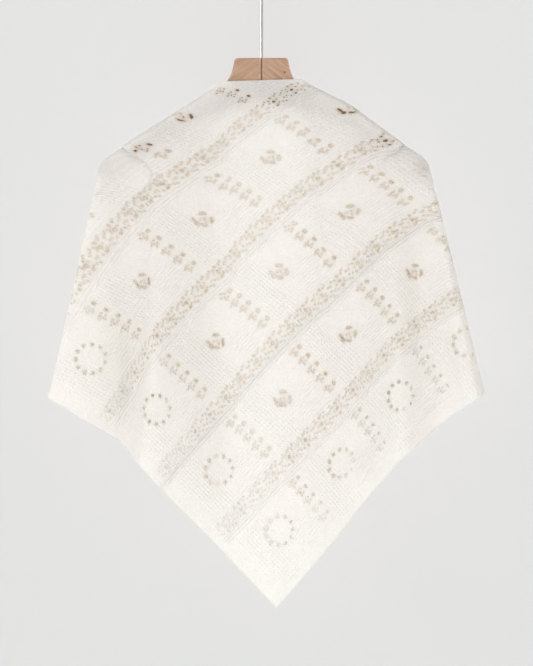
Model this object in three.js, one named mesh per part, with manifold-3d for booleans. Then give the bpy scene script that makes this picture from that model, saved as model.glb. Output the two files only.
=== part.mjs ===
// A triangular lace shawl, worn over a wooden hanger as it is over shoulders.
// The back panel faces -Y, the two front wings face +Y, +X is to the right of one who looks along +Y.
// Millimetres, +Z up. The origin is the hook's inner crest, which bears on a rail or a peg.
import * as THREE from "three";
import { mergeVertices } from "three/addons/utils/BufferGeometryUtils.js";
import Module from "manifold-3d";

// The cloth as it is cut: a right-angled triangle with its long side along the top
const LEG = 1075;
const DEPTH = LEG / Math.SQRT2;
const MARGIN = 12; // plain edging between the hem and the lace
const CELL = 122; // side of one lace square, set at 45 degrees to the long side
const CELLS = 9; // squares along a leg, the last ones cut by the long side
const WALL = 2; // cloth and its loft
const SEAM = 0.3; // between two pieces that meet

// Where the folds of the worn cloth lie on the flat cloth, from the middle of the top edge
const FLAT_NECK = 55;
const FLAT_SHOULDER = { p: 158, q: 144 };
const FLAT_SIDE = { left: 470, right: 430 }; // along each leg from the lowest point to the side fold

// The worn form
const NECK_DROP = 165; // hook's crest to the neck line
const NECK_HALF = 64; // half width of the neck edge, to where it crosses the hanger
const NECK_ROLL = 12; // stretch in which the neck edge passes over the hanger
const ROLL = 10.2; // radius of the cloth where it turns over the hanger
const TURN = 13; // radius of the side folds at the hem
const BELLY = 7; // how much further out than the hanger the cloth hangs at the hem
const SAG = 0.06; // stretch of the upper lace against the lower
const SAG_TOP = 0.22; // the same near the shoulders
const BOW = 16; // sideways lean of the middle lace lines
const FOLD_START = 1.25; // power by which the folds open downwards

// Upper outline: x across, z from the neck line
const RIDGE = [
  { name: "left_shoulder_end", x: -212.5, z: -121 },
  { name: "left_shoulder_round", x: -209.5, z: -108 },
  { name: "left_shoulder_top", x: -201, z: -98 },
  { name: "left_slope_low", x: -171, z: -75 },
  { name: "left_slope_high", x: -110, z: -37 },
  { name: "left_neck", x: -50, z: 1.5 },
  { name: "right_neck", x: 50, z: 4.5 },
  { name: "right_slope_high", x: 115, z: -28 },
  { name: "right_slope_low", x: 180, z: -75 },
  { name: "right_shoulder_top", x: 206, z: -95 },
  { name: "right_shoulder_round", x: 215, z: -104 },
  { name: "right_shoulder_end", x: 219, z: -117 },
];

// Lower outline of the back
const HEM = [
  { name: "left_corner", x: -277.6, z: -408 },
  { name: "left_flap", x: -232, z: -437 },
  { name: "left_kink", x: -186.6, z: -465 },
  { name: "left_step", x: -145, z: -511 },
  { name: "left_run", x: -63, z: -597 },
  { name: "lowest_point", x: 18.9, z: -682.5 },
  { name: "right_run", x: 89, z: -602 },
  { name: "right_step", x: 174, z: -495 },
  { name: "right_kink", x: 232, z: -446 },
  { name: "right_corner", x: 290.6, z: -400 },
];

// Folds of each panel: x at the ridge, x at the hem, and how far out the hem stands there
const BACK_FOLDS = [
  { name: "left_edge", top: -212.5, hem: -277.6, out: 0 },
  { name: "left_flare", top: -190, hem: -236, out: 17 },
  { name: "left_valley", top: -160, hem: -181, out: -4 },
  { name: "left_crest", top: -136, hem: -146, out: 24 },
  { name: "left_hollow", top: -60, hem: -42, out: -3 },
  { name: "spine", top: 3, hem: 18.9, out: 6 },
  { name: "middle_crest", top: 42, hem: 57, out: 12 },
  { name: "right_hollow", top: 108, hem: 135, out: -4 },
  { name: "right_crest", top: 138, hem: 180, out: 20 },
  { name: "right_valley", top: 170, hem: 233, out: -6 },
  { name: "right_flare", top: 198, hem: 272, out: 15 },
  { name: "right_edge", top: 219, hem: 290.6, out: 0 },
];
const SPINE = 5; // row of the back's middle column

const RIGHT_FRONT_FOLDS = [
  { name: "side_edge", top: 219, hem: 290.6, z: -400, out: 0 },
  { name: "outer_crest", top: 205, hem: 257, z: -415, out: 30 },
  { name: "outer_valley", top: 187, hem: 224, z: -431, out: -1 },
  { name: "side_crest", top: 167, hem: 191, z: -450, out: 36 },
  { name: "side_valley", top: 146, hem: 162, z: -473, out: 1 },
  { name: "breast_crest", top: 126, hem: 131, z: -502, out: 38 },
  { name: "breast_valley", top: 106, hem: 102, z: -534, out: 3 },
  { name: "inner_crest", top: 88, hem: 73, z: -570, out: 34 },
  { name: "inner_valley", top: 74, hem: 48, z: -606, out: 5 },
  { name: "free_edge", top: NECK_HALF, hem: 27, z: -646, out: 18 },
];
const LEFT_FRONT_FOLDS = [
  { name: "side_edge", top: -212.5, hem: -277.6, z: -408, out: 0 },
  { name: "outer_crest", top: -198, hem: -247, z: -424, out: 27 },
  { name: "outer_valley", top: -181, hem: -216, z: -440, out: 1 },
  { name: "side_crest", top: -160, hem: -181, z: -461, out: 39 },
  { name: "side_valley", top: -141, hem: -152, z: -487, out: 0 },
  { name: "breast_crest", top: -121, hem: -125, z: -514, out: 33 },
  { name: "breast_valley", top: -103, hem: -96, z: -546, out: 5 },
  { name: "inner_crest", top: -86, hem: -66, z: -582, out: 37 },
  { name: "inner_valley", top: -73, hem: -46, z: -601, out: 6 },
  { name: "free_edge", top: -NECK_HALF, hem: -25, z: -628, out: 15 },
];

// Panel meshes
const STEPS = 1200; // of the tables that tie the flat cloth to the worn one
const PROBE = 1 / 2000; // share of a panel over which its slope is taken
const ROLL_ROWS = [0, 0.9, 3.6, 9.5]; // drops below the ridge
const ROWS = 12;
const BACK_COLUMNS = 42;
const FRONT_COLUMNS = 30;
const ROW_POWER = 1.3; // crowds the lower rows towards the ridge
const EDGE_CROWD = 0.6; // crowds the columns towards the side folds

// Gaps of the lace, along and across their band, in flat cloth sizes
const BAND_HOLE = { length: 6.4, width: 5, count: 3, pitch: 33, offset: 4.5 };
const EYE_HOLE = { length: 6, width: 6, offset: 11 };
const EYE_SLOT = { length: 10, width: 4.2, offset: 11 };
const CUT_REACH = 9; // of a cutter to each side of the cloth
const EDGE_STRIP = { across: 0.012, top: 16 }; // uncut cloth along a panel's own edges

// Hanger
const WOOD_THICK = 12;
const WOOD_EASE = 3; // rounding of the wood's edges
const HEAD_TOP = 33; // above the neck line
const HEAD_HALF = 35;
const HEAD_ROUND = 5;
const FLARE = { x: 45, z: 3 }; // where the head's side runs out into the arm
const ARM_DEEP = 27;
const ARM_ROUND = 12; // rounding of the arm's end
const END_BACK = 3.6; // arm's end inside the shoulder's outline
const ARM_BELOW = 4.5; // wood under the cloth's outer face, measured straight down
const ARCH_RISE = 30; // underside at the middle, below the neck line
const WIRE = 4;
const BORE_SIDE = 0.3;
const SHANK_IN = 30; // wire inside the wood
const HOOK_INNER = 19;
const HOOK_NECK = 12; // radius of the bend between shank and hook
const HOOK_END = 196; // degrees from +X to the tip
const WIRE_SIDES = 10;
const HOOK_STEPS = 44;

const IVORY = { color: 0xf1ebe0, roughness: 0.9, metalness: 0 };
const BEECH = { color: 0xc9a883, roughness: 0.55, metalness: 0 };
const STEEL = { color: 0x8d8780, roughness: 0.3, metalness: 1 };

const wasm = await Module();
wasm.setup();

const clamp01 = (t) => Math.min(1, Math.max(0, t));
const mix = (a, b, t) => a + (b - a) * t;

// Height of an outline table at x, straight between its rows.
function heightAt(table, x) {
  const last = table.length - 1;
  let k = 0;
  while (k < last - 1 && x > table[k + 1].x) k += 1;
  const t = clamp01((x - table[k].x) / (table[k + 1].x - table[k].x));
  return mix(table[k].z, table[k + 1].z, t);
}

// A monotone curve through the rows' values, at row number t.
function smoothAt(rows, key, t) {
  const last = rows.length - 1;
  const k = Math.min(Math.floor(t), last - 1);
  const rise = (n) => rows[n + 1][key] - rows[n][key];
  const slope = (n) => {
    if (n === 0) return rise(0);
    if (n === last) return rise(last - 1);
    const both = rise(n - 1) * rise(n);
    return both > 0 ? (2 * both) / (rise(n - 1) + rise(n)) : 0;
  };
  const f = t - k;
  const f2 = f * f;
  const f3 = f2 * f;
  return (
    (2 * f3 - 3 * f2 + 1) * rows[k][key] +
    (f3 - 2 * f2 + f) * slope(k) +
    (3 * f2 - 2 * f3) * rows[k + 1][key] +
    (f3 - f2) * slope(k + 1)
  );
}

// Lengths run along a list of points, over the named coordinates.
function runsAlong(points, keys) {
  let run = 0;
  return points.map((point, n) => {
    const before = points[Math.max(0, n - 1)];
    run += Math.hypot(...keys.map((key) => point[key] - before[key]));
    return run;
  });
}

const RIDGE_RUNS = runsAlong(RIDGE, ["x", "z"]);

// Length along the upper outline from its left end to x.
function ridgeRunAt(x) {
  const k = Math.max(1, RIDGE.findIndex((row, n) => n > 0 && row.x >= x));
  const part = (x - RIDGE[k - 1].x) / (RIDGE[k].x - RIDGE[k - 1].x);
  return mix(RIDGE_RUNS[k - 1], RIDGE_RUNS[k], clamp01(part));
}

// Flat place of a point of the upper outline: on the neck edge or on the fold over the hanger.
function flatTopAt(x) {
  const side = x < 0 ? -1 : 1;
  if (Math.abs(x) <= NECK_HALF) return { p: (x / NECK_HALF) * FLAT_NECK, q: 0 };
  const end = side < 0 ? RIDGE[0].x : RIDGE[RIDGE.length - 1].x;
  const neck = ridgeRunAt(side * NECK_HALF);
  const part = (ridgeRunAt(x) - neck) / (ridgeRunAt(end) - neck);
  return { p: side * mix(FLAT_NECK, FLAT_SHOULDER.p, part), q: FLAT_SHOULDER.q * part };
}

// A panel's columns: for each step, the worn and the flat place of its top and of its hem.
// marks tie rows of the fold table to lengths along the legs of the flat cloth.
function columnsOf(folds, hemZ, marks) {
  const last = folds.length - 1;
  const columns = Array.from({ length: STEPS + 1 }, (_, n) => {
    const row = (n / STEPS) * last;
    const topX = smoothAt(folds, "top", row);
    const hemX = smoothAt(folds, "hem", row);
    const out = smoothAt(folds, "out", row);
    return { topX, topZ: heightAt(RIDGE, topX), hemX, hemZ: hemZ(hemX, row), out, topFlat: flatTopAt(topX) };
  });
  const stepOf = (mark) => Math.round((mark.row / last) * STEPS);
  const runs = runsAlong(columns, ["hemX", "hemZ", "out"]);
  columns.forEach((column, n) => {
    const k = Math.max(1, marks.findIndex((mark) => stepOf(mark) >= n));
    const [a, b] = [stepOf(marks[k - 1]), stepOf(marks[k])];
    const along = mix(marks[k - 1].along, marks[k].along, (runs[n] - runs[a]) / (runs[b] - runs[a]));
    column.hemFlat = { p: along / Math.SQRT2, q: DEPTH - Math.abs(along) / Math.SQRT2 };
  });
  return columns;
}

// Height of a round edge of the given radius, at a distance inwards from its outermost line.
function roundEdge(distance, radius) {
  const rest = 1 - clamp01(distance / radius);
  return Math.sqrt(1 - rest * rest);
}

// A panel of the worn cloth. facing is -1 for the back and 1 for a front.
// turns says which of its ends, first and last column, fold round a side of the shawl.
class Panel {
  constructor(folds, hemZ, marks, facing, turns) {
    this.columns = columnsOf(folds, hemZ, marks);
    this.facing = facing;
    this.turns = turns;
  }

  // Values of the column at a fractional step.
  columnAt(step) {
    const low = Math.min(Math.floor(step), STEPS - 1);
    const [a, b, t] = [this.columns[low], this.columns[low + 1], step - low];
    const at = (key) => mix(a[key], b[key], t);
    const flat = (key, axis) => mix(a[key][axis], b[key][axis], t);
    return {
      topX: at("topX"),
      topZ: at("topZ"),
      hemX: at("hemX"),
      hemZ: at("hemZ"),
      out: at("out"),
      topFlat: { p: flat("topFlat", "p"), q: flat("topFlat", "q") },
      hemFlat: { p: flat("hemFlat", "p"), q: flat("hemFlat", "q") },
    };
  }

  // Place of the cloth's outer face, at a step across and a share down of the flat column.
  point(step, down) {
    const c = this.columnAt(step);
    const fall = down - (SAG + SAG_TOP * (1 - down)) * down * (1 - down);
    const centred = (2 * step) / STEPS - 1;
    const lean = this.facing < 0 ? BOW * (1 - centred * centred) * 4 * fall * (1 - fall) : 0;
    const x = mix(c.topX, c.hemX, fall) + lean;
    const z = mix(c.topZ, c.hemZ, fall);
    const over = clamp01((Math.abs(c.topX) - NECK_HALF + NECK_ROLL) / NECK_ROLL);
    const roll = 1 - over * (1 - roundEdge(c.topZ - z, ROLL));
    const radius = mix(ROLL, TURN, fall);
    const ends = [this.columns[0], this.columns[STEPS]];
    const turn = ends.reduce((product, end, n) => {
      if (!this.turns[n]) return product;
      return product * roundEdge(Math.abs(x - mix(end.topX, end.hemX, fall)), radius);
    }, 1);
    const reach = ROLL * roll + (BELLY + c.out) * fall ** FOLD_START;
    return new THREE.Vector3(x, this.facing * (reach * turn + SEAM / 2), z - NECK_DROP);
  }

  // Outward direction of the cloth there. Ends that meet another panel point along the seam's plane.
  normal(step, down) {
    const [ds, dd] = [STEPS * PROBE, PROBE];
    const [s0, s1] = [Math.max(0, step - ds), Math.min(STEPS, step + ds)];
    const [d0, d1] = [Math.max(0, down - dd), Math.min(1, down + dd)];
    const across = this.point(s1, down).sub(this.point(s0, down));
    const along = this.point(step, d1).sub(this.point(step, d0));
    const normal = across.cross(along).normalize();
    if (normal.y * this.facing < 0) normal.negate();
    const column = this.columnAt(step);
    const onRidge = down === 0 && Math.abs(column.topX) >= NECK_HALF;
    const onSide = (step === 0 && this.turns[0]) || (step === STEPS && this.turns[1]);
    if (onRidge || onSide) {
      const away = new THREE.Vector3(onSide ? Math.sign(column.topX) : normal.x, 0, onRidge ? 1 : normal.z);
      normal.copy(onRidge && onSide ? away : normal.setY(0)).normalize();
    }
    return normal;
  }

  // Step and share down of a place on the flat cloth, or null where it isn't on this panel.
  locate(p, q) {
    let [low, high] = [0, STEPS];
    const sideOf = (step) => {
      const { topFlat, hemFlat } = this.columnAt(step);
      return (hemFlat.p - topFlat.p) * (q - topFlat.q) - (hemFlat.q - topFlat.q) * (p - topFlat.p);
    };
    const rising = sideOf(0) > sideOf(STEPS);
    if (sideOf(0) * sideOf(STEPS) > 0) return null;
    while (high - low > 1 / STEPS) {
      const middle = (low + high) / 2;
      if (sideOf(middle) > 0 === rising) low = middle;
      else high = middle;
    }
    const { topFlat, hemFlat } = this.columnAt(low);
    const down = (q - topFlat.q) / (hemFlat.q - topFlat.q);
    return down > 0 && down < 1 ? { step: low, down } : null;
  }
}

// Share down of a mesh row: the first rows follow the turn over the hanger.
function downOfRow({ topZ, hemZ }, row) {
  const last = ROLL_ROWS.length - 1;
  const rolled = ROLL_ROWS[Math.min(row, last)] / (topZ - hemZ) / (1 - SAG - SAG_TOP);
  if (row <= last) return rolled;
  return mix(rolled, 1, ((row - last) / (ROWS - last)) ** ROW_POWER);
}

// The closed wall of a panel: its outer face, its inner face and the rim between them.
function wallGeometry(panel, across) {
  const stations = [];
  for (let r = 0; r <= ROWS; r += 1) {
    for (let c = 0; c <= across; c += 1) {
      const t = c / across;
      const crowded = t - (EDGE_CROWD * Math.sin(2 * Math.PI * t)) / (2 * Math.PI);
      const step = STEPS * crowded;
      stations.push({ step, down: downOfRow(panel.columnAt(step), r) });
    }
  }
  const outer = stations.map(({ step, down }) => panel.point(step, down));
  const inner = stations.map(({ step, down }, n) =>
    outer[n].clone().addScaledVector(panel.normal(step, down), -WALL),
  );
  const width = across + 1;
  const count = outer.length;
  const index = [];
  const quad = (a, b, c, d) => index.push(a, b, c, a, c, d);
  for (let r = 0; r < ROWS; r += 1) {
    for (let c = 0; c < across; c += 1) {
      const [a, b] = [r * width + c, r * width + c + 1];
      const [d, e] = [a + width, b + width];
      quad(a, d, e, b);
      quad(count + a, count + b, count + e, count + d);
    }
  }
  const rim = [];
  for (let c = 0; c < across; c += 1) rim.push(c);
  for (let r = 0; r < ROWS; r += 1) rim.push(r * width + across);
  for (let c = across; c > 0; c -= 1) rim.push(ROWS * width + c);
  for (let r = ROWS; r > 0; r -= 1) rim.push(r * width);
  rim.forEach((a, n) => {
    const b = rim[(n + 1) % rim.length];
    quad(a, b, count + b, count + a);
  });
  const geometry = new THREE.BufferGeometry().setFromPoints([...outer, ...inner]);
  geometry.setIndex(index);
  return facingOut(geometry);
}

// Turns a closed mesh's faces round if they point inwards.
function facingOut(geometry) {
  const { position } = geometry.attributes;
  const index = geometry.index.array;
  const [a, b, c] = [new THREE.Vector3(), new THREE.Vector3(), new THREE.Vector3()];
  let volume = 0;
  for (let n = 0; n < index.length; n += 3) {
    a.fromBufferAttribute(position, index[n]);
    b.fromBufferAttribute(position, index[n + 1]);
    c.fromBufferAttribute(position, index[n + 2]);
    volume += a.dot(b.cross(c));
  }
  if (volume < 0) {
    for (let n = 0; n < index.length; n += 3) [index[n + 1], index[n + 2]] = [index[n + 2], index[n + 1]];
  }
  return geometry;
}

// Gaps of the lace on the flat cloth: place along the left leg (i) and the right leg (j), and sizes there.
function laceGaps() {
  const gaps = [];
  const middle = CELL / 2;
  for (let a = 0; a < CELLS; a += 1) {
    for (let b = 0; a + b < CELLS; b += 1) {
      const [i, j] = [MARGIN + CELL * a, MARGIN + CELL * b];
      const add = (di, dj, alongI, alongJ) => gaps.push({ i: i + di, j: j + dj, alongI, alongJ });
      for (let n = 0; n < BAND_HOLE.count; n += 1) {
        const along = middle + (n - (BAND_HOLE.count - 1) / 2) * BAND_HOLE.pitch;
        add(along, BAND_HOLE.offset, BAND_HOLE.length, BAND_HOLE.width);
      }
      if (a > 0 && b > 0 && a + b < CELLS - 1) {
        add(middle, middle - EYE_HOLE.offset, EYE_HOLE.length, EYE_HOLE.width);
        const slot = EYE_SLOT.offset / Math.SQRT2;
        add(middle - slot, middle + slot, EYE_SLOT.width, EYE_SLOT.length);
      }
    }
  }
  return gaps;
}

// Four-sided cutters through a panel, one for each gap that lies wholly on it.
function gapCutters(panel, gaps) {
  const positions = [];
  const index = [];
  for (const gap of gaps) {
    const spots = [
      [-1, -1],
      [1, -1],
      [1, 1],
      [-1, 1],
      [0, 0],
    ].map(([m, n]) => {
      const [i, j] = [gap.i + (m * gap.alongI) / 2, gap.j + (n * gap.alongJ) / 2];
      return panel.locate((j - i) / Math.SQRT2, DEPTH - (i + j) / Math.SQRT2);
    });
    if (spots.some((spot) => !spot || !clearOfEdges(panel, spot))) continue;
    const normal = panel.normal(spots[4].step, spots[4].down).multiplyScalar(CUT_REACH);
    const start = positions.length;
    for (const spot of spots.slice(0, 4)) {
      const face = panel.point(spot.step, spot.down);
      positions.push(face.clone().add(normal), face.clone().sub(normal));
    }
    const quad = (k, l, m, n) => index.push(start + k, start + l, start + m, start + k, start + m, start + n);
    for (let n = 0; n < 4; n += 1) {
      const next = (n + 1) % 4;
      quad(2 * n, 2 * n + 1, 2 * next + 1, 2 * next);
    }
    quad(0, 2, 4, 6);
    quad(7, 5, 3, 1);
  }
  const geometry = new THREE.BufferGeometry().setFromPoints(positions);
  geometry.setIndex(index);
  return facingOut(geometry);
}

// Whether a gap keeps a strip of cloth between itself and the panel's own edges.
function clearOfEdges(panel, { step, down }) {
  const { topX, topZ, hemX, hemZ } = panel.columnAt(step);
  const length = Math.hypot(hemX - topX, hemZ - topZ);
  const edge = STEPS * EDGE_STRIP.across;
  return down * length > EDGE_STRIP.top && step > edge && step < STEPS - edge;
}

// three.js geometry as a solid, and back.
function solidOf(geometry) {
  const bare = geometry.clone();
  bare.deleteAttribute("normal");
  bare.deleteAttribute("uv");
  const merged = mergeVertices(bare, 1e-4);
  return new wasm.Manifold(
    new wasm.Mesh({
      numProp: 3,
      vertProperties: merged.attributes.position.array,
      triVerts: new Uint32Array(merged.index.array),
    }),
  );
}

function geometryOf(solid) {
  const { numProp, vertProperties, triVerts } = solid.getMesh();
  const geometry = new THREE.BufferGeometry();
  geometry.setAttribute("position", new THREE.BufferAttribute(new Float32Array(vertProperties), numProp));
  geometry.setIndex(new THREE.BufferAttribute(new Uint32Array(triVerts), 1));
  geometry.computeVertexNormals();
  return geometry;
}

function clothMesh(name, panel, across, gaps) {
  const wall = solidOf(wallGeometry(panel, across));
  const cut = wall.subtract(solidOf(gapCutters(panel, gaps)));
  const mesh = new THREE.Mesh(geometryOf(cut), new THREE.MeshStandardMaterial(IVORY));
  mesh.name = name;
  return mesh;
}

// One half of the hanger, from the middle seam to the arm's end. side is -1 for left, 1 for right.
function woodHalf(side) {
  const rowNamed = (name) => RIDGE.find((row) => row.name === (side < 0 ? "left_" : "right_") + name);
  const under = (x) => [x, heightAt(RIDGE, side * x) - ARM_BELOW];
  const across = (name) => Math.abs(rowNamed(name).x);
  const end = rowNamed("shoulder_round");
  const endX = Math.abs(end.x) - END_BACK;
  const shape = new THREE.Shape();
  shape.moveTo(SEAM / 2, -ARCH_RISE);
  shape.lineTo(SEAM / 2, HEAD_TOP);
  shape.lineTo(HEAD_HALF - HEAD_ROUND, HEAD_TOP);
  shape.quadraticCurveTo(HEAD_HALF, HEAD_TOP, HEAD_HALF + 1, HEAD_TOP - HEAD_ROUND);
  shape.quadraticCurveTo(HEAD_HALF + 3, FLARE.z + 9, FLARE.x, FLARE.z);
  shape.lineTo(...under(FLARE.x + WIRE));
  shape.lineTo(...under(across("slope_high")));
  shape.lineTo(...under(across("slope_low")));
  shape.lineTo(...under(across("shoulder_top") - ARM_ROUND / 2));
  shape.quadraticCurveTo(endX, end.z - ARM_ROUND / 2, endX, end.z - ARM_ROUND);
  shape.quadraticCurveTo(endX, end.z - 2 * ARM_ROUND, endX - ARM_ROUND, end.z - 2 * ARM_ROUND);
  shape.lineTo(across("slope_high"), rowNamed("slope_high").z - ARM_DEEP);
  shape.quadraticCurveTo(FLARE.x, -ARCH_RISE, SEAM / 2, -ARCH_RISE);
  const body = new THREE.ExtrudeGeometry(shape, {
    depth: WOOD_THICK - 2 * WOOD_EASE,
    bevelThickness: WOOD_EASE,
    bevelSize: WOOD_EASE,
    bevelOffset: -WOOD_EASE,
    bevelSegments: 2,
    curveSegments: 6,
  });
  body.translate(0, 0, WOOD_EASE - WOOD_THICK / 2);
  body.rotateX(Math.PI / 2);
  if (side < 0) body.rotateZ(Math.PI);
  body.translate(0, 0, -NECK_DROP);
  const bore = new THREE.CylinderGeometry(WIRE / 2 + BORE_SIDE, WIRE / 2 + BORE_SIDE, SHANK_IN + 4, 16);
  bore.rotateX(Math.PI / 2);
  bore.translate(0, 0, HEAD_TOP - NECK_DROP - SHANK_IN / 2 + 1.5);
  return geometryOf(solidOf(body).subtract(solidOf(bore)));
}

// The hook's centre line: straight up out of the wood, a short bend, then round the rail to its tip.
class HookLine extends THREE.Curve {
  constructor() {
    super();
    const round = HOOK_INNER + WIRE / 2;
    this.centre = -HOOK_INNER;
    this.bend = Math.acos(HOOK_NECK / (HOOK_NECK + round));
    this.foot = HEAD_TOP - NECK_DROP - SHANK_IN;
    this.neck = this.centre - (HOOK_NECK + round) * Math.sin(this.bend);
    this.round = round;
    this.lengths = [
      this.neck - this.foot,
      HOOK_NECK * this.bend,
      round * (THREE.MathUtils.degToRad(HOOK_END) + this.bend),
    ];
  }

  getPoint(t, target = new THREE.Vector3()) {
    const [shank, neck, round] = this.lengths;
    let run = t * (shank + neck + round);
    if (run <= shank) return target.set(0, 0, this.foot + run);
    run -= shank;
    if (run <= neck) {
      const turn = run / HOOK_NECK;
      return target.set(HOOK_NECK * (1 - Math.cos(turn)), 0, this.neck + HOOK_NECK * Math.sin(turn));
    }
    const turn = (run - neck) / this.round - this.bend;
    return target.set(this.round * Math.cos(turn), 0, this.centre + this.round * Math.sin(turn));
  }
}

function hookGeometry() {
  const section = new THREE.Shape();
  section.absarc(0, 0, WIRE / 2, 0, 2 * Math.PI);
  return new THREE.ExtrudeGeometry(section, {
    extrudePath: new HookLine(),
    steps: HOOK_STEPS,
    curveSegments: WIRE_SIDES / 2,
  });
}

function plainMesh(name, geometry, look) {
  const mesh = new THREE.Mesh(geometry, new THREE.MeshStandardMaterial(look));
  mesh.name = name;
  return mesh;
}

const backPanel = new Panel(
  BACK_FOLDS,
  (x) => heightAt(HEM, x),
  [
    { row: 0, along: -FLAT_SIDE.left },
    { row: SPINE, along: 0 },
    { row: BACK_FOLDS.length - 1, along: FLAT_SIDE.right },
  ],
  -1,
  [true, true],
);

// side is -1 for the left wing and 1 for the right one.
function frontPanel(folds, side) {
  const first = side < 0 ? FLAT_SIDE.left : FLAT_SIDE.right;
  const marks = [
    { row: 0, along: side * first },
    { row: folds.length - 1, along: side * LEG },
  ];
  return new Panel(folds, (x, row) => smoothAt(folds, "z", row), marks, 1, [true, false]);
}

const gaps = laceGaps();
const shawl = new THREE.Group();
shawl.add(clothMesh("shawl_back", backPanel, BACK_COLUMNS, gaps));
shawl.add(clothMesh("shawl_front_left", frontPanel(LEFT_FRONT_FOLDS, -1), FRONT_COLUMNS, gaps));
shawl.add(clothMesh("shawl_front_right", frontPanel(RIGHT_FRONT_FOLDS, 1), FRONT_COLUMNS, gaps));

const hanger = new THREE.Group();
hanger.add(plainMesh("hanger_wood_left", woodHalf(-1), BEECH));
hanger.add(plainMesh("hanger_wood_right", woodHalf(1), BEECH));
hanger.add(plainMesh("hanger_hook", hookGeometry(), STEEL));

const part = new THREE.Group();
part.add(shawl, hanger);

export default part;
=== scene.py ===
"""Looks of a triangular lace shawl, worn over a wooden hanger as it is over shoulders.

The cloth is knitted on its flat cut, stitch by stitch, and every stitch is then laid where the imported
model has that place of the cloth. Lengths of cloth and wood are in millimetres until a mesh is made.
"""
import logging
import math
from dataclasses import dataclass, field
from enum import Enum

import bpy
import numpy as np
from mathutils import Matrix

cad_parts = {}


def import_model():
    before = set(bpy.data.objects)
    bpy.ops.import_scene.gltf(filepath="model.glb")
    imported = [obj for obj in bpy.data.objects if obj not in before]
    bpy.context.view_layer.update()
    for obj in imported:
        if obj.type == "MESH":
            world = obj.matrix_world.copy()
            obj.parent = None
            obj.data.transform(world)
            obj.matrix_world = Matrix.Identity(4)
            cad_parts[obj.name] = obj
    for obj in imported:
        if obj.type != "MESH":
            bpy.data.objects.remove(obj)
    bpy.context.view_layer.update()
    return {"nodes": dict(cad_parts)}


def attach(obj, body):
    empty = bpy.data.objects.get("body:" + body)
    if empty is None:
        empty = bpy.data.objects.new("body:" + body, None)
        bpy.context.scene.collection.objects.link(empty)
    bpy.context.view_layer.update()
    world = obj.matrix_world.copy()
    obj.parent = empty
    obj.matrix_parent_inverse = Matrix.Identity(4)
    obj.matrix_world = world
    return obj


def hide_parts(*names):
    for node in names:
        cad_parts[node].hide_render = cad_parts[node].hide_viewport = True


LOG = logging.getLogger("shawl")
MM = 0.001
KNIT_MAP = "stitches"


class Facing(Enum):
    """Side of the hanger on which a panel of the worn cloth hangs."""

    BACK = -1.0
    FRONT = 1.0


class Part(Enum):
    """Pieces into which the one cloth is divided, with the node that each stands for."""

    BACK_LOWER = ("shawl_back_lower", "shawl_back")
    BACK_UPPER = ("shawl_back_upper", "shawl_back")
    WING_LEFT = ("shawl_wing_left", "shawl_front_left")
    WING_RIGHT = ("shawl_wing_right", "shawl_front_right")


def monotone(values: np.ndarray, rows: np.ndarray) -> np.ndarray:
    """Draws a monotone cubic through a table's values.

    Args:
        values: one value for each row of the table.
        rows: row numbers, with fractions, to read it at.

    Returns:
        The values there.
    """
    rise = np.diff(values)
    slope = np.zeros(len(values))
    both = rise[:-1] * rise[1:]
    total = rise[:-1] + rise[1:]
    slope[1:-1] = np.where(both > 0, 2 * both / np.where(total == 0, 1, total), 0)
    slope[0], slope[-1] = rise[0], rise[-1]
    low = np.clip(np.floor(rows).astype(int), 0, len(values) - 2)
    f = rows - low
    return (
        (2 * f**3 - 3 * f**2 + 1) * values[low]
        + (f**3 - 2 * f**2 + f) * slope[low]
        + (3 * f**2 - 2 * f**3) * values[low + 1]
        + (f**3 - f**2) * slope[low + 1]
    )


def running_length(*axes: np.ndarray) -> np.ndarray:
    """Measures along a line of points.

    Args:
        axes: the points' coordinates, one array for each axis.

    Returns:
        The length from the first point to each.
    """
    steps = np.sqrt(sum(np.diff(axis) ** 2 for axis in axes))
    return np.concatenate([[0.0], np.cumsum(steps)])


def round_edge(distance: np.ndarray, radius: np.ndarray) -> np.ndarray:
    """Gives the height of a round edge.

    Args:
        distance: how far inwards from the outermost line.
        radius: radius of the edge.

    Returns:
        The height as a share of the radius.
    """
    rest = 1 - np.clip(distance / radius, 0, 1)
    return np.sqrt(1 - rest**2)


def even_round(distance: np.ndarray, radius: np.ndarray) -> np.ndarray:
    """Slides places near a round edge so that the stitches pass evenly round it.

    Args:
        distance: how far inwards from the outermost line.
        radius: radius of the edge.

    Returns:
        The distances after the slide.
    """
    share = np.clip(distance / (2 * radius), 0, 1)
    return np.where(share < 1, 2 * radius * share**2 * (2 - share), distance)


def unit(vectors: np.ndarray) -> np.ndarray:
    """Scales vectors to a length of one."""
    return vectors / np.linalg.norm(vectors, axis=-1, keepdims=True).clip(1e-9)


def add_object(mesh: bpy.types.Mesh) -> bpy.types.Object:
    """Puts a mesh into the scene.

    Args:
        mesh: the mesh, with the piece's name.

    Returns:
        Its object, at the origin.
    """
    obj = bpy.data.objects.new(mesh.name, mesh)
    bpy.context.scene.collection.objects.link(obj)
    return obj


@dataclass(frozen=True)
class FlatCut:
    """The cloth before it is worn: a right-angled triangle, its long side along the top."""

    leg: float = 1075.0
    margin: float = 12.0
    cell: float = 122.0
    cells: int = 9
    neck: float = 55.0
    shoulder: tuple[float, float] = (158.0, 144.0)
    side_left: float = 470.0
    side_right: float = 430.0

    @property
    def depth(self) -> float:
        """Height of the triangle."""
        return self.leg / math.sqrt(2)

    def across(self, i: np.ndarray, j: np.ndarray) -> tuple[np.ndarray, np.ndarray]:
        """Turns lengths along the two legs into places across and down.

        Args:
            i: length from the lowest point along the left leg.
            j: length along the right leg.

        Returns:
            Distance to the right of the middle, and distance below the long side.
        """
        return (j - i) / math.sqrt(2), self.depth - (i + j) / math.sqrt(2)


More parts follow.
